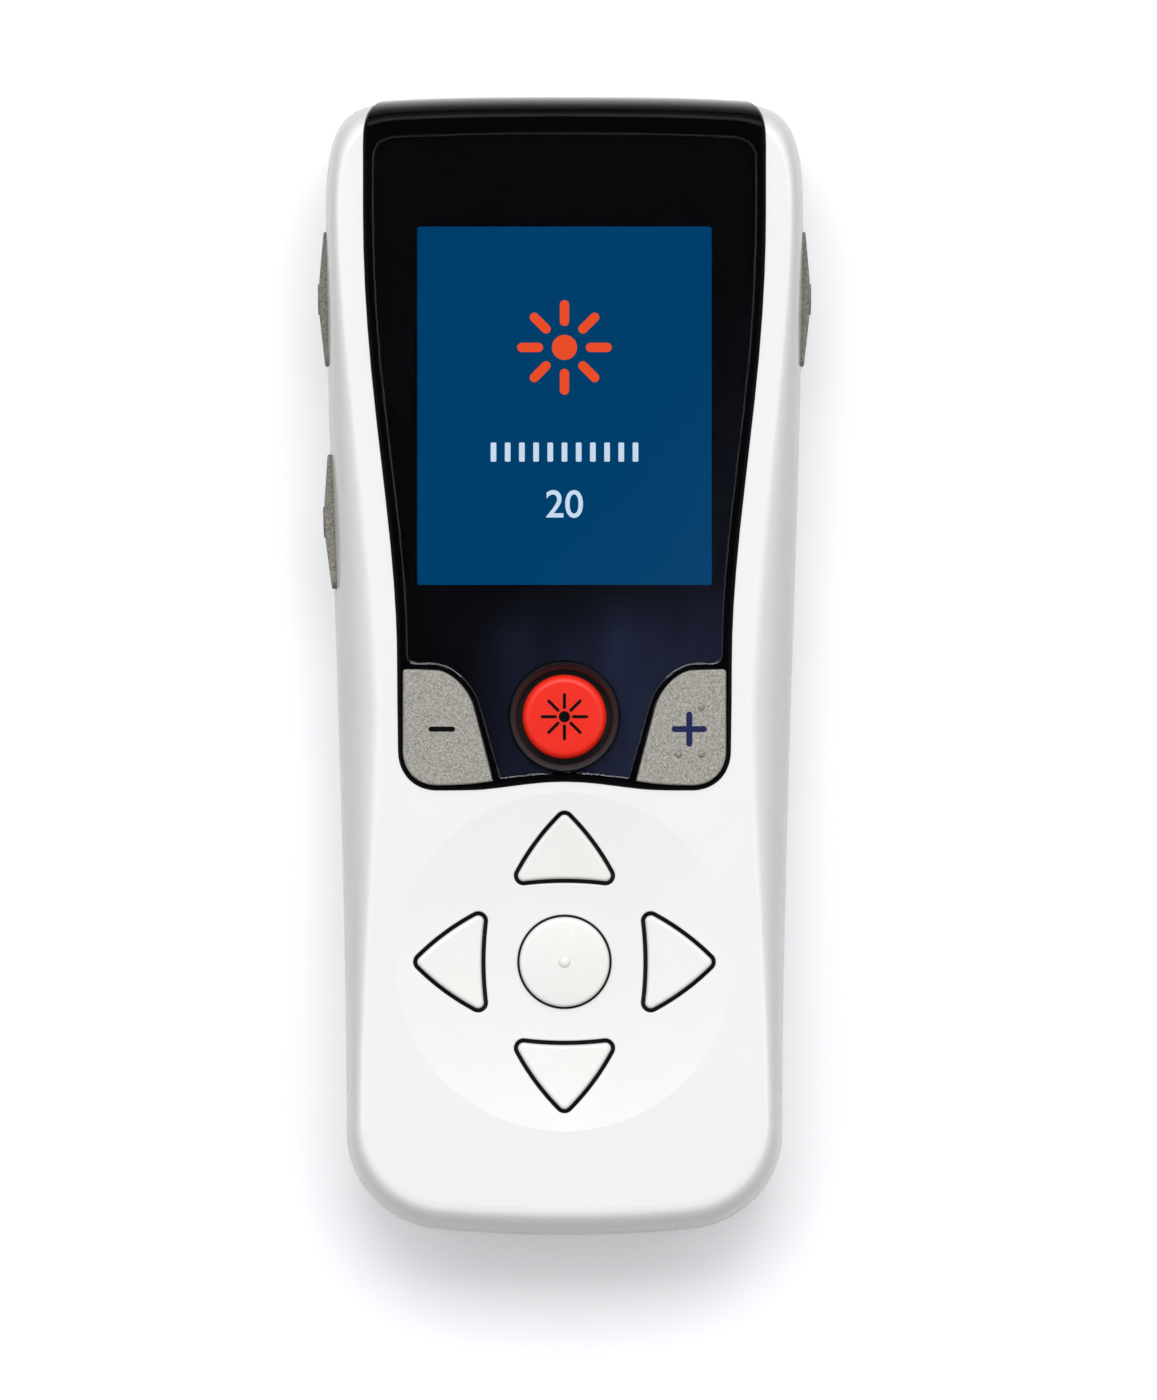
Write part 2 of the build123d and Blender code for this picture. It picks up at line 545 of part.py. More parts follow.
def rear_housing():
    back = inset(SILHOUETTE, BACK_ROLL)
    body = rolled_half(REAR_START, -REAR_START, back_power, SILHOUETTE, back)
    shell = body - rolled_half(REAR_START, WALL - REAR_START, back_power, SILHOUETTE, back, WALL)
    bed_y = CUT_Y, DOOR_TOP_Y + DOOR_BED_MARGIN
    shell += body & block((-DOOR_BED_HALF_WIDTH, DOOR_BED_HALF_WIDTH), bed_y, (0, DOOR_BED_TOP_Z))
    outer = BAY_HALF_WIDTH + BAY_WALL
    shell += block((-outer, outer), (BAY_Y[0] - BAY_WALL, BAY_Y[1] + BAY_WALL), (1, BAY_TOP_Z + BAY_WALL))
    for sign in (-1, 1):
        for x, y in (UPPER_SCREW, LOWER_SCREW):
            shell += post(sign * x, y, (WALL / 2, REAR_START), SCREW_WELL_RADIUS)
            shell -= post(sign * x, y, (-1, SCREW_SEAT_Z), SCREW_HEAD_RADIUS + 0.25)
            shell -= post(sign * x, y, (-1, PARTING_Z), SCREW_RADIUS + 0.15)
        shell -= end_hole(sign)
        shell -= socket_body(sign, 0.1)
    edge = DOOR_HALF_WIDTH + DOOR_GAP
    door_y = CUT_Y, DOOR_TOP_Y + DOOR_GAP
    shell -= block((-edge, edge), door_y, (-1, DOOR_THICK + 0.1))
    shell -= block((-edge - TONGUE, edge + TONGUE), door_y, (TONGUE_Z[0] - DOOR_GAP, DOOR_THICK + 0.1))
    shell -= block((-BAY_HALF_WIDTH, BAY_HALF_WIDTH), BAY_Y, (-1, BAY_TOP_Z), 0.8)
    for x, y in contact_places():
        shell -= Pos(x, y, BAY_TOP_Z) * Box(CONTACT_TAB + 0.4, CONTACT_THICK + 0.2, 4)
    for x, y in grille_places():
        shell -= post(x, y, (-1, 2 * WALL), GRILLE_HOLE_RADIUS)
    return cut_side_slots(shell)


def grille_places():
    """The middle hole of the sound grille, and six round it."""
    around = [math.radians(60 * i) for i in range(6)]
    circle = [(GRILLE_RADIUS * math.cos(a), GRILLE_Y + GRILLE_RADIUS * math.sin(a)) for a in around]
    return [(0, GRILLE_Y)] + circle


# ---- Battery bay contents and door --------------------------------------------------------------
def battery_door():
    """Sliding door with a rolled lower end, side tongues and a grooved thumb grip."""
    back = inset(SILHOUETTE, BACK_ROLL)
    body = rolled_half(REAR_START, -REAR_START, back_power, SILHOUETTE, back)
    door = body & block((-DOOR_HALF_WIDTH, DOOR_HALF_WIDTH), (CUT_Y, DOOR_TOP_Y), (0, DOOR_THICK))
    wide = DOOR_HALF_WIDTH + TONGUE
    door += block((-wide, wide), (-54, DOOR_TOP_Y - 1), TONGUE_Z)
    for i in range(GRIP_GROOVES):
        groove = Rot(0, 90, 0) * Cylinder(GRIP_RADIUS, 15 - 2.4 * i)
        door -= Pos(0, GRIP_Y - GRIP_PITCH * i, -GRIP_RADIUS / 2) * groove
    return door


def cell_places():
    """Each cell's X, and whether its positive end points to the display end; alternate cells are reversed."""
    return [(-CELL_PITCH, True), (0, False), (CELL_PITCH, True)]


def contact_places():
    """Middle of each contact plate, at both ends of each cell."""
    ends = (BAY_Y[0] + CONTACT_THICK / 2, BAY_Y[1] - CONTACT_THICK / 2)
    return [(x, y) for x, _ in cell_places() for y in ends]


def cell():
    """One AAA cell along +Y, its flat end at the origin."""
    button_radius, button_height = CELL_BUTTON
    can = along_y(0, 0, (0, CELL_LENGTH - button_height), CELL_RADIUS)
    can = fillet(can.edges(), 0.4)
    return can + along_y(0, 0, (CELL_LENGTH - button_height - 0.3, CELL_LENGTH), button_radius)


def battery_cells():
    low = BAY_Y[0] + CONTACT_THICK + 0.05
    high = BAY_Y[1] - CONTACT_THICK - 0.05
    placed = []
    for x, forward in cell_places():
        start = high - CELL_LENGTH if forward else low + CELL_LENGTH
        placed.append(Pos(x, start, CELL_Z) * Rot(0, 0, 0 if forward else 180) * cell())
    return placed


def battery_springs():
    """Coil spring between each cell's flat end and its contact plate."""
    gap = BAY_Y[1] - BAY_Y[0] - CELL_LENGTH - 2 * CONTACT_THICK - 0.1
    length = gap - 2 * SPRING_WIRE_RADIUS - 0.1
    path = Helix(pitch=length / 4, height=length, radius=SPRING_RADIUS)
    coil = sweep(Plane(origin=path @ 0, z_dir=path % 0) * Circle(SPRING_WIRE_RADIUS), path=path)
    springs = []
    for x, forward in cell_places():
        margin = CONTACT_THICK + SPRING_WIRE_RADIUS + 0.05
        start = BAY_Y[0] + margin if forward else BAY_Y[1] - margin
        springs.append(Pos(x, start, CELL_Z) * Rot(-90 if forward else 90, 0, 0) * coil)
    return springs


def battery_contacts():
    plates = []
    for x, y in contact_places():
        plate = Pos(x, y, CELL_Z) * Box(8, CONTACT_THICK, 9)
        tab = Pos(x, y, (CELL_Z + BOARD_Z[0]) / 2) * Box(CONTACT_TAB, CONTACT_THICK, BOARD_Z[0] - CELL_Z)
        plates.append(plate + tab)
    return plates


# ---- Sockets and screws -------------------------------------------------------------------------
def socket_body(sign, growth=0.0):
    """Body of an output socket, or the room that it needs."""
    x, half = sign * SOCKET_X, SOCKET_HALF_WIDTH + growth
    y_range = SOCKET_BODY_Y[0] - growth, SOCKET_BODY_Y[1] + growth
    return block((x - half, x + half), y_range, (SOCKET_BODY_Z[0] - growth, SOCKET_BODY_Z[1]), 0.6)


def output_socket(sign):
    """Jack socket for an electrode lead, with its nose in the bottom end wall."""
    x = sign * SOCKET_X
    body = socket_body(sign) + along_y(x, SOCKET_Z, (SOCKET_MOUTH_Y, SOCKET_BODY_Y[0] + 1), NOSE_RADIUS)
    return body - along_y(x, SOCKET_Z, (SOCKET_MOUTH_Y - 1, SOCKET_MOUTH_Y + SOCKET_DEPTH), SOCKET_BORE)


def socket_terminals():
    tabs = []
    for sign in (-1, 1):
        for shift in (-2.2, 2.2):
            x = sign * SOCKET_X + shift
            foot = block((x - 0.8, x + 0.8), (-49.6, -47.8), (12.0, 12.3))
            tabs.append(foot + block((x - 0.8, x + 0.8), (-48.1, -47.8), (12.0, BOARD_Z[0])))
    return tabs


def screw():
    """Pan-head self-tapping screw pointing up, its head's seat at z 0."""
    head = Pos(0, 0, -0.75) * Cylinder(SCREW_HEAD_RADIUS, 1.5)
    head = fillet(head.edges().group_by(Axis.Z)[0], 0.45)
    for angle in (0, 90):
        head -= Rot(0, 0, angle) * Pos(0, 0, -1.3) * Box(2.2, 0.5, 1.2)
    length = SCREW_TIP_Z - SCREW_SEAT_Z
    shank = Pos(0, 0, (length - 1) / 2) * Cylinder(SCREW_RADIUS, length - 1)
    return head + shank + Pos(0, 0, length - 0.5) * Cone(SCREW_RADIUS, 0.2, 1)


def housing_screws():
    places = [(s * x, y) for s in (-1, 1) for x, y in (UPPER_SCREW, LOWER_SCREW)]
    return [Pos(x, y, SCREW_SEAT_Z) * screw() for x, y in places]


# ---- Board and electronics ----------------------------------------------------------------------
def main_board():
    board = block((-BOARD_HALF_WIDTH, BOARD_HALF_WIDTH), BOARD_Y, BOARD_Z, 3.0)
    for sign in (-1, 1):
        for x, y in (UPPER_SCREW, LOWER_SCREW):
            board -= post(sign * x, y, (10, 20), BOSS_RADIUS + 0.2)
    return board


def contact_pads():
    return [post(x, y, (BOARD_Z[1], BOARD_Z[1] + 0.04), 1.7) for (x, y), _ in BOOTS.values()]


def under_board(x, y, width, length, depth):
    """A component hanging from the underside of the board."""
    top = BOARD_Z[0]
    return block((x - width / 2, x + width / 2), (y - length / 2, y + length / 2), (top - depth, top), 0.2)


def transformer_core(x, y):
    """Ferrite core with two windows on either side of its middle limb."""
    middle_z = BOARD_Z[0] - TRANSFORMER_SIZE[2] / 2
    windows = Box(9.5, 20, 5.0) - Box(4.2, 20, 5.0)
    return under_board(x, y, *TRANSFORMER_SIZE) - Pos(x, y, middle_z) * windows


def transformer_coil(x, y):
    """Winding that fills the core's windows."""
    return Pos(x, y, BOARD_Z[0] - TRANSFORMER_SIZE[2] / 2) * (Box(9.1, 9.0, 4.6) - Box(4.5, 20, 5.2))


def lcd_frame():
    tray = block((-LCD_HALF_WIDTH, LCD_HALF_WIDTH), LCD_Y, LCD_Z, 0.8)
    wall = 0.6
    pocket = (-LCD_HALF_WIDTH + wall, LCD_HALF_WIDTH - wall), (LCD_Y[0] + wall, LCD_Y[1] - wall)
    return tray - block(*pocket, (LCD_Z[0] + 0.5, LCD_Z[1] + 1))


def lcd_sheet(z_range):
    edge = 0.65
    return block((-LCD_HALF_WIDTH + edge, LCD_HALF_WIDTH - edge), (LCD_Y[0] + edge, LCD_Y[1] - edge), z_range)


def lcd_flex():
    """Flexible circuit from the display's lower edge down to the connector."""
    strip = Polyline(
        (LCD_Y[0], 17.3), (4.1, 17.3), (3.1, 16.3), (1.4, 16.3), (1.4, 16.17), (3.15, 16.17), (4.15, 17.17),
        (LCD_Y[0], 17.17), close=True,
    )
    return Pos(-6, 0, 0) * extrude(Plane.YZ * make_face(strip), 12)


def write(name, shape):
    """Writes one named piece, or a group of like solids, to parts/."""
    solids = [s for item in (shape if isinstance(shape, list) else [shape]) for s in item.solids()]
    export_step(Compound(children=solids) if len(solids) > 1 else solids[0], f"parts/{name}.step")


def main():
    os.makedirs("parts", exist_ok=True)
    cavity = front_cavity()
    write("front_housing", front_housing(cavity))
    write("rear_housing", rear_housing())
    write("display_bezel", display_bezel(cavity))
    write("display_lens", display_lens())
    write("mask_film", mask_film())
    write("key_surround", key_surround())

    write("plus_key", corner_key(1))
    write("minus_key", corner_key(-1))
    write("stimulation_key", stimulation_key())
    write("select_key", select_key())
    for name, angle in ARROW_ANGLES.items():
        write(f"{name}_key", arrow_key(angle))
    for name in BOOTS:
        write(f"{name}_key_boot", boot(name))
    write("keypad_mat", keypad_mat())
    write("contact_pads", contact_pads())

    for name in SIDE_KEYS:
        write(f"{name}_key", on_side(name, side_key()))
        write(f"{name}_plunger", on_side(name, side_plunger()))
    write("side_switches", [on_side(name, side_switch()) for name in SIDE_KEYS])

    write("battery_door", battery_door())
    write("battery_cells", battery_cells())
    write("battery_springs", battery_springs())
    write("battery_contacts", battery_contacts())
    write("left_output_socket", output_socket(-1))
    write("right_output_socket", output_socket(1))
    write("socket_terminals", socket_terminals())
    write("housing_screws", housing_screws())

    write("main_board", main_board())
    write("lcd_frame", lcd_frame())
    write("lcd_backlight", lcd_sheet((16.0, 17.1)))
    write("lcd_panel", lcd_sheet((17.15, 18.35)))
    write("lcd_flex", lcd_flex())
    write("lcd_connector", block((-7, 7), (1.3, 3.0), (BOARD_Z[1], 16.15)))
    write("transformer_cores", [transformer_core(x, y) for x, y in TRANSFORMER_PLACES])
    write("transformer_coils", [transformer_coil(x, y) for x, y in TRANSFORMER_PLACES])
    for name, (centres, width, length, depth) in BLOCK_COMPONENTS.items():
        write(name, [under_board(x, y, width, length, depth) for x, y in centres])
    for name, (centres, radius, low_z) in ROUND_COMPONENTS.items():
        write(name, [post(x, y, (low_z, BOARD_Z[0]), radius) for x, y in centres])


main()
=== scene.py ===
"""Looks of the handheld stimulator: finishes, display picture, printed marks, floor, lights and camera.

Metres, in the CAD frame. Sizes below are written in millimetres and multiplied by MM.
"""
import json
import math

import bmesh
import bpy
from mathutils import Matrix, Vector


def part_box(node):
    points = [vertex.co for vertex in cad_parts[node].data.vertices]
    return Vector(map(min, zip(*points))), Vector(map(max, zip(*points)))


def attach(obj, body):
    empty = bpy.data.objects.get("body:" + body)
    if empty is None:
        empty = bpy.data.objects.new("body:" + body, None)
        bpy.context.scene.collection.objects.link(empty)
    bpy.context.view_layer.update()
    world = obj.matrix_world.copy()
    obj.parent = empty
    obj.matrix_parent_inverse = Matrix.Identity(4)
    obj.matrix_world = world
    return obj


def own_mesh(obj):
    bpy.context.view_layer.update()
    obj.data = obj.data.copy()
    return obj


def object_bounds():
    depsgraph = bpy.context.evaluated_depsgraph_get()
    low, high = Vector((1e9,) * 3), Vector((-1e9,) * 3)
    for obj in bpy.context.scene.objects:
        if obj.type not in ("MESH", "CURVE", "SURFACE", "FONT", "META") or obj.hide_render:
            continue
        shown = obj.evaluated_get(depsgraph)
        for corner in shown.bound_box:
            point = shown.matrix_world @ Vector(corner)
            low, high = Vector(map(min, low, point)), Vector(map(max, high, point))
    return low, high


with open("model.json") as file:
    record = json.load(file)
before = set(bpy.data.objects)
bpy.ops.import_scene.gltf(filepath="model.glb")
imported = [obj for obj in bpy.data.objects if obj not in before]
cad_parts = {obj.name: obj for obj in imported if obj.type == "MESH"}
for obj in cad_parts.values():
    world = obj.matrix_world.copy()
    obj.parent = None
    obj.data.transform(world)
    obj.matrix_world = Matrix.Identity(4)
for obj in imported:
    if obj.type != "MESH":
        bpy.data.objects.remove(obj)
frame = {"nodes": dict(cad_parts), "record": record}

cad_low, cad_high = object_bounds()

MM = 0.001
NODES = frame["nodes"]
ROOT = "handset"

# ---- Colours, linear -----------------------------------------------------------------------------
WHITE_SHELL = (0.80, 0.80, 0.795)
WHITE_KEY = (0.80, 0.80, 0.78)
PAINTED_SIDE_SHADE = (0.45, 0.44, 0.42)      # painted shade: the shell's colour is multiplied by this on an upright face
# painted shade for the gaps round the keys: on the shell, the white keys and the red key's skirt
GAP_SHADE_COLOUR = (0.02, 0.019, 0.018)
BLACK_GLOSS = (0.0015, 0.0015, 0.0018)
FILM_BLACK = (0.0012, 0.0012, 0.0016)
# painted reflection: the blue that the film shows below the display picture
FILM_REFLECTION_BLUE = (0.019, 0.024, 0.056)
GREY_KEY = (0.30, 0.29, 0.255)
SIDE_KEY = (0.21, 0.2, 0.165)
RED_KEY = (0.76, 0.012, 0.003)
SCREEN_BLUE = (0.0, 0.056, 0.163)
SCREEN_ORANGE = (0.95, 0.085, 0.024)
SCREEN_PALE = (0.66, 0.80, 0.95)
MARK_BLACK = (0.0015, 0.0015, 0.0015)
MARK_NAVY = (0.012, 0.016, 0.06)


# ---- Materials -----------------------------------------------------------------------------------
NOISE_RANGE = (0.3, 0.7)      # where most values of a noise texture lie
LEVEL_ENOUGH = 0.93           # at this much facing up or down, the shell has its full colour and no painted shade
GAP_SHADE_EDGE, SKIRT_SHADE_EDGE = 0.1 * MM, 0.15 * MM   # how sharply the painted shade in the key gaps begins, on the shell and on the red key's skirt
REFLECTION_TOP, REFLECTION_FULL = 9 * MM, 3 * MM        # the painted blue reflection on the film begins below this Y, and is full at this one
REFLECTION_LEFT, REFLECTION_RIGHT = -15 * MM, 9 * MM    # it grows from this X to this one
BATTERY_BAND = 11 * MM


class Finish:
    """A Principled material that procedural detail is added to."""

    def __init__(self, name, colour, roughness, **values):
        self.material = bpy.data.materials.new(name)
        self.material.use_nodes = True
        self.tree = self.material.node_tree
        self.shader = self.tree.nodes["Principled BSDF"]
        self.shader.inputs["Base Color"].default_value = (*colour, 1)
        self.shader.inputs["Roughness"].default_value = roughness
        for key, value in values.items():
            self.shader.inputs[key.replace("_", " ")].default_value = value
        self.coordinates = self.tree.nodes.new("ShaderNodeTexCoord").outputs["Object"]
        self.normal = None

    def node(self, kind, **inputs):
        made = self.tree.nodes.new(kind)
        for key, value in inputs.items():
            socket = made.inputs[key.replace("_", " ")]
            if isinstance(value, bpy.types.NodeSocket):
                self.tree.links.new(value, socket)
            else:
                socket.default_value = value
        return made

    def noise(self, size, detail=2.0, stretch=(1, 1, 1)):
        """Noise whose features are about size across, in metres."""
        scaled = self.node("ShaderNodeMapping", Vector=self.coordinates, Scale=stretch)
        made = self.node("ShaderNodeTexNoise", Vector=scaled.outputs[0], Scale=1 / size, Detail=detail)
        return made.outputs["Fac"]

    def span(self, value, low, high, out_low=0.0, out_high=1.0):
        made = self.node("ShaderNodeMapRange", Value=value, From_Min=low, From_Max=high)
        made.inputs["To Min"].default_value = out_low
        made.inputs["To Max"].default_value = out_high
        return made.outputs[0]

    def sums(self, operation, *values):
        made = self.tree.nodes.new("ShaderNodeMath")
        made.operation = operation
        for value, socket in zip(values, made.inputs):
            if isinstance(value, bpy.types.NodeSocket):
                self.tree.links.new(value, socket)
            else:
                socket.default_value = value
        return made.outputs[0]

    def tint(self, factor, first, second):
        """Base colour that runs from first to second as factor goes from 0 to 1."""
        made = self.node("ShaderNodeMix")
        made.data_type = "RGBA"
        self.tree.links.new(factor, made.inputs["Factor"])
        for socket, colour in zip((made.inputs[6], made.inputs[7]), (first, second)):
            if isinstance(colour, bpy.types.NodeSocket):
                self.tree.links.new(colour, socket)
            else:
                socket.default_value = (*colour, 1)
        self.tree.links.new(made.outputs[2], self.shader.inputs["Base Color"])
        return made.outputs[2]

    def rough(self, factor, low, high):
        self.tree.links.new(self.span(factor, *NOISE_RANGE, low, high), self.shader.inputs["Roughness"])

    def bump(self, height, depth):
        """Adds relief, depth metres from the height's 0 to its 1."""
        made = self.node("ShaderNodeBump", Strength=1.0, Distance=depth, Height=height)
        if self.normal is not None:
            self.tree.links.new(self.normal, made.inputs["Normal"])
        self.normal = made.outputs[0]
        self.tree.links.new(self.normal, self.shader.inputs["Normal"])

    def level(self):
        """How far the surface faces up or down: 1 on a level face, 0 on an upright one."""
        normal = self.tree.nodes.new("ShaderNodeTexCoord").outputs["Normal"]
        return self.sums("ABSOLUTE", self.node("ShaderNodeSeparateXYZ", Vector=normal).outputs["Z"])

    def axis(self, name):
        made = self.node("ShaderNodeSeparateXYZ", Vector=self.coordinates)
        return made.outputs[name]


def moulded_white(name, colour, roughness, shade_margin=None):
    """Glossy white moulding with faint flow marks and a soft orange peel.

    Its colour falls to under half on upright faces, which stands in for the shading in the photograph.
    With a margin, painted shade starts that far below the dish round the navigation pad, and reaches to the
    pad's edge, so that the gaps round the keys stay dark.
    """
    finish = Finish(name, colour, roughness, Coat_Weight=0.12, Coat_Roughness=0.06, IOR=1.36)
    warm = tuple(c * s for c, s in zip(colour, (0.985, 0.98, 0.965)))
    base = finish.tint(finish.span(finish.noise(14 * MM, 3), 0.35, 0.7), colour, warm)
    # painted shade, darker as the face turns upright
    painted_shade_share = finish.span(finish.level(), 0.0, LEVEL_ENOUGH)
    base = finish.tint(painted_shade_share, tuple(c * s for c, s in zip(colour, PAINTED_SIDE_SHADE)), base)
    if shade_margin is not None:
        across, along, height = (finish.axis(name) for name in "XYZ")
        along = finish.sums("SUBTRACT", along, pad_middle.y)
        squared = finish.sums("ADD", finish.sums("POWER", across, 2.0), finish.sums("POWER", along, 2.0))
        shade_z = finish.sums("MULTIPLY_ADD", squared, DISH_CURVE, dish_floor_z - shade_margin)
        above = finish.span(finish.sums("SUBTRACT", height, shade_z), -GAP_SHADE_EDGE, 0)
        outside = finish.span(squared, (pad_reach - GAP_SHADE_EDGE) ** 2, pad_reach ** 2)
        # painted shade on the walls of the gaps round the navigation keys
        finish.tint(finish.sums("MAXIMUM", above, outside), GAP_SHADE_COLOUR, base)
    finish.rough(finish.noise(2.2 * MM, 4), roughness - 0.03, roughness + 0.05)
    finish.bump(finish.noise(1.1 * MM, 1), 0.0016 * MM)
    return finish.material


def gloss_black(name, roughness, ior):
    """Piano black with hairline scuffs. The lower the refractive index, the darker its rounded edges."""
    finish = Finish(name, BLACK_GLOSS, roughness, IOR=ior)
    scuffs = finish.noise(0.5 * MM, 5, (1, 0.06, 1))
    finish.rough(scuffs, roughness - 0.02, roughness + 0.05)
    finish.bump(finish.noise(3 * MM, 1), 0.002 * MM)
    return finish.material


def blasted(name, colour, light, dark):
    """Sand-blasted metallic plastic: fine light and dark grains with a matching relief."""
    finish = Finish(name, colour, 0.5, Metallic=0.25)
    fine, coarse = finish.noise(0.15 * MM, 3), finish.noise(0.38 * MM, 2)
    grain = finish.sums("MULTIPLY_ADD", coarse, 0.35, fine)
    finish.tint(finish.span(grain, 0.5, 0.85), dark, light)
    finish.rough(fine, 0.42, 0.62)
    finish.bump(finish.span(grain, 0.5, 0.85), 0.02 * MM)
    return finish.material


def silicone_red(skirt_shade_z):
    """Soft-touch red, with painted shade on its skirt that keeps the gap round the key black."""
    finish = Finish("red_silicone", RED_KEY, 0.33, Specular_IOR_Level=0.3)
    finish.shader.inputs["Subsurface Weight"].default_value = 0.25
    finish.shader.inputs["Subsurface Scale"].default_value = 1.2 * MM
    finish.shader.inputs["Subsurface Radius"].default_value = (1.0, 0.25, 0.1)
    finish.shader.inputs["Coat Weight"].default_value = 0.06
    finish.shader.inputs["Coat Roughness"].default_value = 0.2
    red = finish.tint(finish.noise(4 * MM, 2), RED_KEY, (0.82, 0.02, 0.005))
    # painted shade on the skirt, in the gap round the key
    finish.tint(finish.span(finish.axis("Z"), skirt_shade_z - SKIRT_SHADE_EDGE, skirt_shade_z), GAP_SHADE_COLOUR, red)
    finish.bump(finish.noise(0.25 * MM, 2), 0.002 * MM)
    return finish.material


def clear_window():
    finish = Finish("clear_window", (0.95, 0.97, 1.0), 0.0, IOR=1.36, Transmission_Weight=1.0)
    finish.rough(finish.noise(4 * MM, 2, (1, 0.3, 1)), 0.0, 0.015)
    return finish.material


def black_film():
    """Black film with a painted blue reflection on it: below the picture, in streaks, stronger to the
    right.
    """
    finish = Finish("black_film", FILM_BLACK, 0.5, Specular_IOR_Level=0.03)
    streaks = finish.span(finish.noise(9 * MM, 2, (1, 0.4, 1)), *NOISE_RANGE)
    below = finish.span(finish.axis("Y"), REFLECTION_TOP, REFLECTION_FULL)
    across = finish.span(finish.axis("X"), REFLECTION_LEFT, REFLECTION_RIGHT)
    # painted reflection in blue streaks, strongest low down and to the right
    painted_reflection = finish.sums("MULTIPLY", streaks, finish.sums("MULTIPLY", below, across))
    finish.tint(painted_reflection, FILM_BLACK, FILM_REFLECTION_BLUE)
    return finish.material


def lit(name, colour):
    """A lit part of the display, with the faint unevenness of its backlight."""
    finish = Finish(name, (0, 0, 0), 0.6, Emission_Strength=1.0, Specular_IOR_Level=0.0)
    glow = finish.node("ShaderNodeMix")
    glow.data_type = "RGBA"
    finish.tree.links.new(finish.span(finish.noise(25 * MM, 1), *NOISE_RANGE), glow.inputs["Factor"])
    glow.inputs[6].default_value = (*colour, 1)
    glow.inputs[7].default_value = (*[c * 0.94 for c in colour], 1)
    finish.tree.links.new(glow.outputs[2], finish.shader.inputs["Emission Color"])
    return finish.material


def printed(name, colour):
    finish = Finish(name, colour, 0.5, Specular_IOR_Level=0.04)
    finish.tint(finish.noise(0.3 * MM, 3), colour, tuple(c * 1.5 for c in colour))
    finish.bump(finish.noise(0.1 * MM, 2), 0.002 * MM)
    return finish.material


def plain(name, colour, roughness, grain=0.3, relief=0.004, **values):
    """Everyday moulded or metal surface: mottled colour, uneven polish and a fine relief."""
    finish = Finish(name, colour, roughness, **values)
    finish.tint(finish.noise(grain * 6 * MM, 3), colour, tuple(c * 0.85 for c in colour))
    finish.rough(finish.noise(grain * 3 * MM, 4), max(0.02, roughness - 0.06), roughness + 0.08)
    finish.bump(finish.noise(grain * MM, 3), relief * MM)
    return finish.material


def circuit_board():
    """Green solder mask with copper tracks that show through as lighter, raised bands."""
    finish = Finish("solder_mask", (0.01, 0.12, 0.045), 0.3, Coat_Weight=0.4)
    tracks = finish.node("ShaderNodeTexBrick", Vector=finish.coordinates, Scale=260.0, Mortar_Size=0.02)
    finish.tint(tracks.outputs["Fac"], (0.008, 0.1, 0.04), (0.03, 0.22, 0.08))
    finish.bump(tracks.outputs["Fac"], 0.02 * MM)
    return finish.material


def cell_jacket():
    """Blue battery jacket with a silver band at the positive end. The middle cell is turned round."""
    finish = Finish("cell_jacket", (0.05, 0.08, 0.2), 0.28, Metallic=0.6, Coat_Weight=0.5)
    low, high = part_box("battery_cells")
    across, along = finish.sums("ABSOLUTE", finish.axis("X")), finish.axis("Y")
    outer = finish.sums("GREATER_THAN", across, (high.x - low.x) / 6)
    upper = finish.sums("MULTIPLY", outer, finish.sums("GREATER_THAN", along, high.y - BATTERY_BAND))
    inner = finish.sums("SUBTRACT", 1.0, outer)
    lower = finish.sums("MULTIPLY", inner, finish.sums("LESS_THAN", along, low.y + BATTERY_BAND))
    jacket = finish.tint(finish.noise(0.8 * MM, 4, (1, 0.1, 1)), (0.03, 0.05, 0.16), (0.06, 0.1, 0.28))
    finish.tint(finish.sums("ADD", upper, lower), jacket, (0.6, 0.6, 0.62))
    finish.bump(finish.noise(0.6 * MM, 3, (1, 0.2, 1)), 0.004 * MM)
    return finish.material


# The dish round the navigation pad, taken from the pieces round it.
pad_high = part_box("up_key")[1]
pad_middle = (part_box("select_key")[0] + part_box("select_key")[1]) / 2
shell_top_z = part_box("front_housing")[1].z
DISH_RIM, DISH_DEPTH = 18.6 * MM, 1.4 * MM
PAD_MARGIN, SKIRT_DROP = 0.9 * MM, 1.5 * MM
DISH_CURVE = DISH_DEPTH / DISH_RIM ** 2
dish_floor_z = shell_top_z - DISH_DEPTH
pad_reach = pad_high.y - pad_middle.y + PAD_MARGIN
stimulation_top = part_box("stimulation_key")[1].z

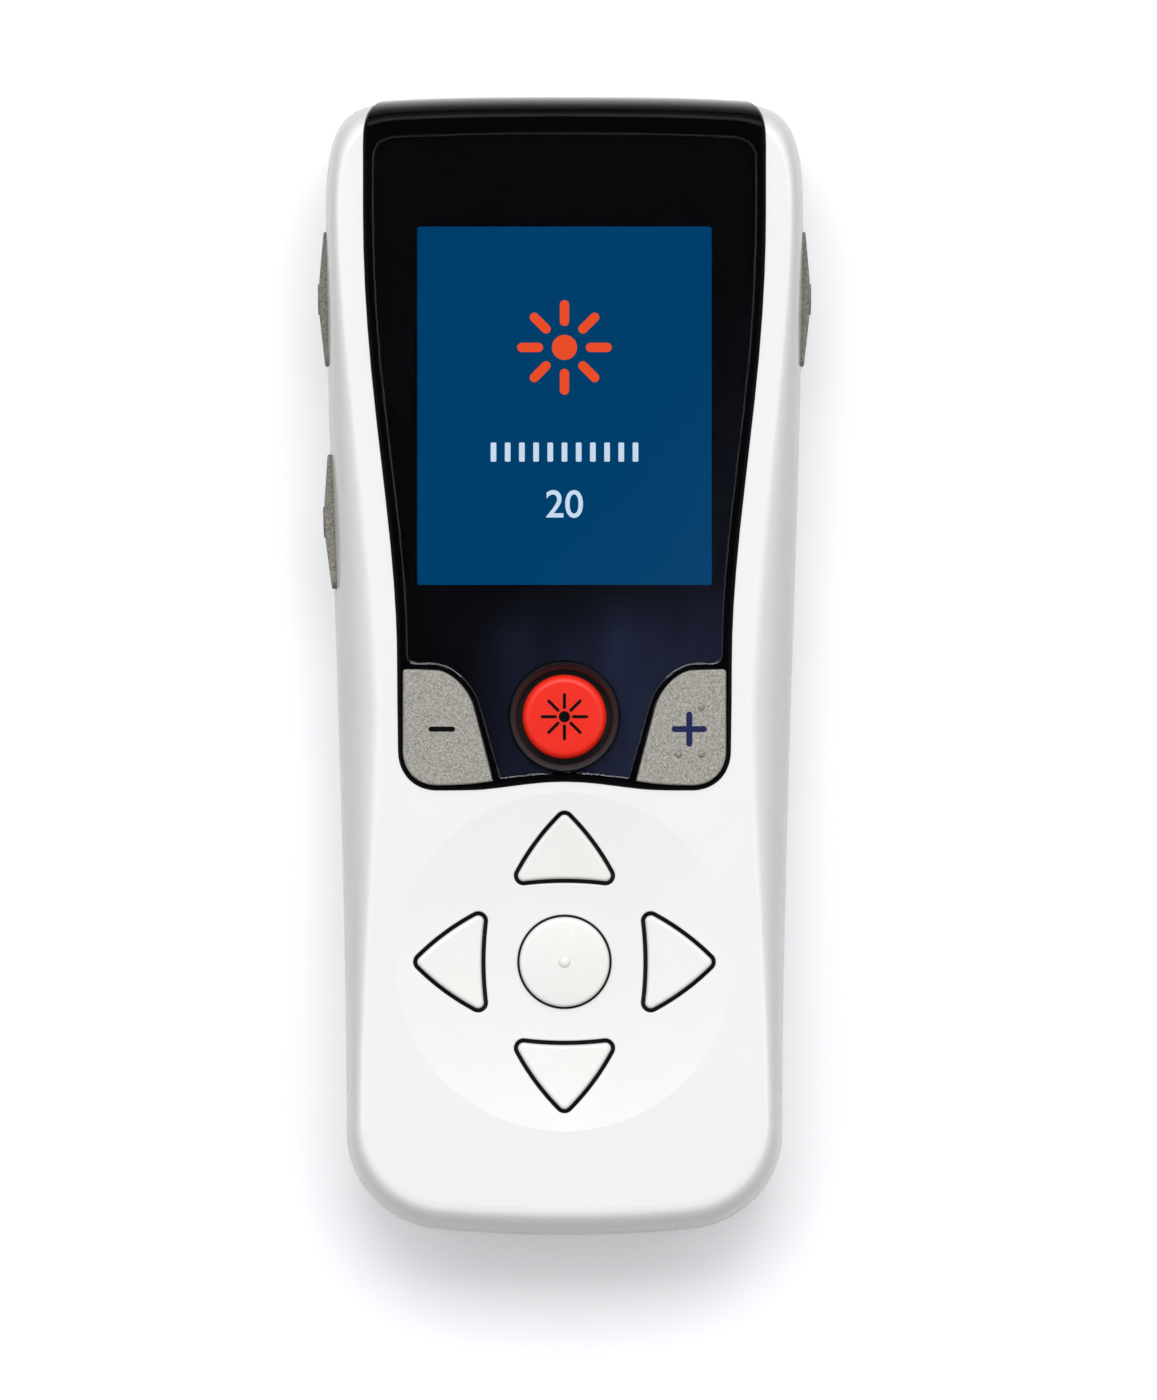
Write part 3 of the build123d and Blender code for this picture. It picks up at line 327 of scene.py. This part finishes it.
MATERIALS = {
    "white_shell": moulded_white("white_shell_gloss", WHITE_SHELL, 0.2),
    "white_key": moulded_white("white_key_gloss", WHITE_KEY, 0.24, shade_margin=0.0),
    "black_bezel": gloss_black("piano_black", 0.1, 1.13),
    "clear_lens": clear_window(),
    "black_print": black_film(),
    "red_key": silicone_red(stimulation_top - SKIRT_DROP),
    "grey_key": blasted("blasted_grey", GREY_KEY, (0.42, 0.405, 0.36), (0.17, 0.165, 0.145)),
    "side_key": blasted("blasted_side_grey", SIDE_KEY, (0.30, 0.285, 0.24), (0.10, 0.095, 0.08)),
    "silicone": plain("grey_silicone", (0.03, 0.03, 0.03), 0.6),
    "gold_pads": plain("gold_plating", (0.8, 0.55, 0.2), 0.25, Metallic=1.0),
    "circuit_board": circuit_board(),
    "switch_body": plain("switch_black", (0.02, 0.02, 0.02), 0.45),
    "cell_jacket": cell_jacket(),
    "nickel_spring": plain("nickel_plating", (0.62, 0.6, 0.56), 0.22, Metallic=1.0),
    "socket_body": plain("socket_black", (0.018, 0.018, 0.02), 0.35),
    "screw_steel": plain("zinc_steel", (0.5, 0.5, 0.49), 0.3, Metallic=1.0),
    "lcd_frame": plain("stamped_steel", (0.45, 0.45, 0.45), 0.35, Metallic=1.0),
    "lcd_light": plain("diffuser", (0.85, 0.85, 0.85), 0.6),
    "lcd_glass": plain("polariser", (0.01, 0.015, 0.03), 0.25, Specular_IOR_Level=0.2),
    "flex_film": plain("polyimide", (0.5, 0.22, 0.04), 0.35),
    "ferrite": plain("ferrite", (0.04, 0.04, 0.042), 0.65),
    "copper": plain("enamelled_copper", (0.6, 0.2, 0.07), 0.3, Metallic=0.8),
    "chip_black": plain("chip_resin", (0.02, 0.02, 0.02), 0.55),
    "capacitor_can": plain("aluminium_can", (0.65, 0.65, 0.66), 0.28, Metallic=1.0),
}
for part in frame["record"]["subparts"]:
    for material_slot in NODES[part["node"]].material_slots:
        material_slot.material = MATERIALS[part["material_slot"]]
white_front = moulded_white("white_front", WHITE_SHELL, 0.2, shade_margin=0.06 * MM)
NODES["front_housing"].material_slots[0].material = white_front
NODES["key_surround"].material_slots[0].material = gloss_black("ring_black", 0.28, 1.6)


# ---- Silicone boots, which flatten under their keys, each get a mesh of their own ----------------
for joint in frame["record"]["behaviour"]["joints"]:
    for item in joint.get("deforming_nodes", []):
        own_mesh(NODES[item["node"]])


# ---- Flat pieces ---------------------------------------------------------------------------------
LIT_THICKNESS, MARK_THICKNESS = 0.01 * MM, 0.02 * MM
NUMERAL_SHARE = 0.729     # a numeral's height as a share of the type size


def capsule(x0, y0, x1, y1, width, steps=8):
    """Outline of a bar with round ends."""
    angle, half = math.atan2(y1 - y0, x1 - x0), width / 2
    points = []
    for x, y, start in ((x1, y1, -90), (x0, y0, 90)):
        for i in range(steps + 1):
            a = angle + math.radians(start + 180 * i / steps)
            points.append((x + half * math.cos(a), y + half * math.sin(a)))
    return points


def disc(x, y, radius, steps=32):
    turns = [math.tau * i / steps for i in range(steps)]
    return [(x + radius * math.cos(a), y + radius * math.sin(a)) for a in turns]


def rounded_box(x0, y0, x1, y1, radius, steps=4):
    points = []
    corners = ((x1, y1, 0), (x0, y1, 90), (x0, y0, 180), (x1, y0, 270))
    for x, y, start in corners:
        cx = x - radius if x == x1 else x + radius
        cy = y - radius if y == y1 else y + radius
        for i in range(steps + 1):
            a = math.radians(start + 90 * i / steps)
            points.append((cx + radius * math.cos(a), cy + radius * math.sin(a)))
    return points


def flat_piece(name, outlines, z, thickness, material, body):
    """Thin raised shapes on one plane, as one piece."""
    mesh = bmesh.new()
    for outline in outlines:
        low = [mesh.verts.new((x, y, z)) for x, y in outline]
        high = [mesh.verts.new((x, y, z + thickness)) for x, y in outline]
        mesh.faces.new(high)
        mesh.faces.new(list(reversed(low)))
        for i in range(len(low)):
            j = (i + 1) % len(low)
            mesh.faces.new((low[i], low[j], high[j], high[i]))
    data = bpy.data.meshes.new(name)
    mesh.to_mesh(data)
    mesh.free()
    piece = bpy.data.objects.new(name, data)
    bpy.context.collection.objects.link(piece)
    data.materials.append(material)
    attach(piece, body)


def burst(x, y, dot, inner, outer, width):
    """A dot with eight rays round it."""
    outlines = [disc(x, y, dot)]
    for i in range(8):
        c, s = math.cos(math.pi * i / 4), math.sin(math.pi * i / 4)
        near, far = inner + width / 2, outer - width / 2
        outlines.append(capsule(x + near * c, y + near * s, x + far * c, y + far * s, width))
    return outlines


def digits(name, text, x, y, height, z, material, body):
    """Numerals as a mesh, centred on x, y and z and slightly emboldened."""
    curve = bpy.data.curves.new(name, "FONT")
    curve.body = text
    curve.align_x, curve.align_y = "CENTER", "CENTER"
    curve.size = height / NUMERAL_SHARE
    curve.offset = 0.012 * height
    curve.extrude = LIT_THICKNESS / 2
    holder = bpy.data.objects.new(name + "_text", curve)
    bpy.context.collection.objects.link(holder)
    bpy.context.view_layer.update()
    data = bpy.data.meshes.new_from_object(holder.evaluated_get(bpy.context.evaluated_depsgraph_get()))
    bpy.data.objects.remove(holder)
    xs, ys = [v.co.x for v in data.vertices], [v.co.y for v in data.vertices]
    middle = Vector(((min(xs) + max(xs)) / 2, (min(ys) + max(ys)) / 2, 0))
    for vertex in data.vertices:
        vertex.co += Vector((x, y, z)) - middle
    data.materials.clear()
    data.materials.append(material)
    piece = bpy.data.objects.new(name, data)
    bpy.context.collection.objects.link(piece)
    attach(piece, body)


# ---- Display picture -----------------------------------------------------------------------------
panel_low, panel_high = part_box("lcd_panel")
picture_z = panel_high.z + LIT_THICKNESS / 2
picture_low, picture_high = (-16.7 * MM, 8.35 * MM), (16.7 * MM, 48.8 * MM)
flat_piece("display_picture", [rounded_box(*picture_low, *picture_high, 0.3 * MM)], picture_z,
           LIT_THICKNESS, lit("lit_blue", SCREEN_BLUE), ROOT)
icon_z = picture_z + 1.5 * LIT_THICKNESS
ICON_Y, BAR_Y, DIGIT_Y = 35.0 * MM, 23.5 * MM, 17.8 * MM
icon = burst(0, ICON_Y, dot=1.38 * MM, inner=2.35 * MM, outer=5.2 * MM, width=1.02 * MM)
flat_piece("status_icon", icon, icon_z, LIT_THICKNESS, lit("lit_orange", SCREEN_ORANGE), ROOT)
BAR_COUNT, BAR_PITCH = 11, 1.56 * MM
BAR_WIDTH, BAR_HEIGHT, BAR_CORNER = 0.62 * MM, 2.1 * MM, 0.12 * MM
bars = []
for i in range(BAR_COUNT):
    x = (i - (BAR_COUNT - 1) / 2) * BAR_PITCH
    left, right = x - BAR_WIDTH / 2, x + BAR_WIDTH / 2
    bars.append(rounded_box(left, BAR_Y - BAR_HEIGHT / 2, right, BAR_Y + BAR_HEIGHT / 2, BAR_CORNER))
pale = lit("lit_pale", SCREEN_PALE)
flat_piece("level_bars", bars, icon_z, LIT_THICKNESS, pale, ROOT)
digits_z = icon_z + 0.6 * LIT_THICKNESS     # the middle of their thickness, just above the picture
digits("level_number", "20", 0, DIGIT_Y, 3.1 * MM, digits_z, pale, ROOT)


# ---- Printed marks on the keys -------------------------------------------------------------------
mark_black, mark_navy = printed("mark_black", MARK_BLACK), printed("mark_navy", MARK_NAVY)
stimulation_y = (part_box("stimulation_key")[0].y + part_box("stimulation_key")[1].y) / 2
key_burst = burst(0, stimulation_y, dot=0.62 * MM, inner=0.83 * MM, outer=2.6 * MM, width=0.34 * MM)
flat_piece("stimulation_mark", key_burst, stimulation_top, MARK_THICKNESS, mark_black,
           "stimulation_button")
corner_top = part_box("minus_key")[1].z
MARK_Y = -6.93 * MM
MINUS_LEFT, MINUS_RIGHT, MINUS_WIDTH = -14.65 * MM, -12.3 * MM, 0.56 * MM
flat_piece("minus_mark", [capsule(MINUS_LEFT, MARK_Y, MINUS_RIGHT, MARK_Y, MINUS_WIDTH)], corner_top,
           MARK_THICKNESS, mark_black, "minus_button")
PLUS_X, PLUS_ARM, PLUS_WIDTH = 13.7 * MM, 1.6 * MM, 0.66 * MM
flat_piece("plus_mark", [capsule(PLUS_X - PLUS_ARM, MARK_Y, PLUS_X + PLUS_ARM, MARK_Y, PLUS_WIDTH)],
           corner_top, MARK_THICKNESS, mark_navy, "plus_button")
flat_piece("plus_mark_upright", [capsule(PLUS_X, MARK_Y - PLUS_ARM, PLUS_X, MARK_Y + PLUS_ARM, PLUS_WIDTH)],
           corner_top, 1.05 * MARK_THICKNESS, mark_navy, "plus_button")


# ---- Floor, lights and camera --------------------------------------------------------------------
FLOOR_SIDE = 6.0
FLOOR_PALE = (0.88, 0.885, 0.895)
SKY_STRENGTH = 1.3
SKY_LEAN = 0.85           # how much brighter the sky is towards +Y than overhead
SKY_STOPS = [             # upward part of the direction, and the colour there
    (0.0, (0.08, 0.08, 0.085)),
    (0.35, (0.26, 0.262, 0.268)),
    (0.7, (0.94, 0.943, 0.95)),
    (0.93, (1.03, 1.03, 1.04)),
    (0.972, (0.3, 0.305, 0.33)),
    (0.988, (0.004, 0.004, 0.006)),
]
OVERHEAD = 0.99           # upward part of the direction where the dark spot holds its blue panel
PANEL_BLUE = (0.10, 0.12, 0.24)
PANEL_GRADIENT = (75.0, -60.0)   # how fast the panel brightens to the right and away from +Y
VIEW_HEIGHT = 154 * MM
VIEW_SHIFT = (1.54 * MM, -3.74 * MM)
FOCUS_SHARE = 0.72        # height of the framed plane, as a share of the unit's height


def floor():
    bpy.ops.mesh.primitive_plane_add(size=FLOOR_SIDE, location=(0, 0, cad_low.z))
    ground = bpy.context.object
    ground.name = "floor"
    finish = Finish("floor_paper", FLOOR_PALE, 0.9, Specular_IOR_Level=0.1, Emission_Strength=0.14)
    finish.shader.inputs["Emission Color"].default_value = (0.95, 0.97, 1, 1)
    finish.tint(finish.noise(0.4, 2), FLOOR_PALE, (0.87, 0.875, 0.885))
    ground.data.materials.append(finish.material)


def area_light(name, location, target, size, power):
    data = bpy.data.lights.new(name, "AREA")
    data.shape = "RECTANGLE"
    data.size, data.size_y = size
    data.energy = power
    lamp = bpy.data.objects.new(name, data)
    bpy.context.collection.objects.link(lamp)
    lamp.location = location
    lamp.rotation_euler = (Vector(target) - Vector(location)).to_track_quat("-Z", "Y").to_euler()


def studio_sky():
    """Bright ceiling over a dark horizon, brighter beyond the display end.

    The spot straight overhead is dark, with a faint blue panel at its side.
    """
    world = bpy.data.worlds.new("studio")
    bpy.context.scene.world = world
    world.use_nodes = True
    tree = world.node_tree

    def made(kind, *values):
        node = tree.nodes.new(kind)
        for value, socket in zip(values, node.inputs):
            if isinstance(value, bpy.types.NodeSocket):
                tree.links.new(value, socket)
            else:
                socket.default_value = value
        return node

    def maths(operation, *values):
        node = made("ShaderNodeMath", *values)
        node.operation = operation
        return node.outputs[0]

    axes = made("ShaderNodeSeparateXYZ", tree.nodes.new("ShaderNodeTexCoord").outputs["Generated"]).outputs
    ramp = made("ShaderNodeValToRGB", axes["Z"])
    elements = ramp.color_ramp.elements
    for _ in SKY_STOPS[2:]:
        elements.new(0.5)
    for element, (position, colour) in zip(elements, SKY_STOPS):
        element.position = position
        element.color = (*colour, 1)
    across, along = PANEL_GRADIENT
    panel = maths("MULTIPLY_ADD", axes["X"], across, maths("MULTIPLY_ADD", axes["Y"], along, 0.5))
    overhead = maths("GREATER_THAN", axes["Z"], OVERHEAD)
    lean = maths("MAXIMUM", maths("MULTIPLY_ADD", axes["Y"], SKY_LEAN, 1.0), 0.0)
    share = maths("MULTIPLY", maths("MINIMUM", maths("MAXIMUM", panel, 0.0), 1.0), overhead)
    mixed = tree.nodes.new("ShaderNodeMix")
    mixed.data_type = "RGBA"
    tree.links.new(share, mixed.inputs["Factor"])
    tree.links.new(ramp.outputs[0], mixed.inputs[6])
    mixed.inputs[7].default_value = (*PANEL_BLUE, 1)
    tree.links.new(mixed.outputs[2], tree.nodes["Background"].inputs["Color"])
    tree.links.new(maths("MULTIPLY", lean, SKY_STRENGTH), tree.nodes["Background"].inputs["Strength"])


def camera():
    """Long lens, straight above, framed a little right of and below the unit's middle."""
    data = bpy.data.cameras.new("camera")
    data.lens, data.sensor_width = 600, 36
    view_z = (cad_low.z + cad_high.z) * FOCUS_SHARE
    lens_height = data.lens / data.sensor_width * VIEW_HEIGHT
    middle = (cad_low + cad_high) / 2
    shift_x, shift_y = VIEW_SHIFT
    holder = bpy.data.objects.new("camera", data)
    bpy.context.collection.objects.link(holder)
    holder.location = (middle.x + shift_x, middle.y + shift_y, view_z + lens_height)
    data.clip_start, data.clip_end = 0.1, 20
    bpy.context.scene.camera = holder


floor()
studio_sky()
area_light("key", location=(0, 0.45, 1.0), target=(0, 0, 0), size=(0.6, 0.4), power=3.6)
camera()
bpy.context.scene.view_settings.view_transform = "Standard"
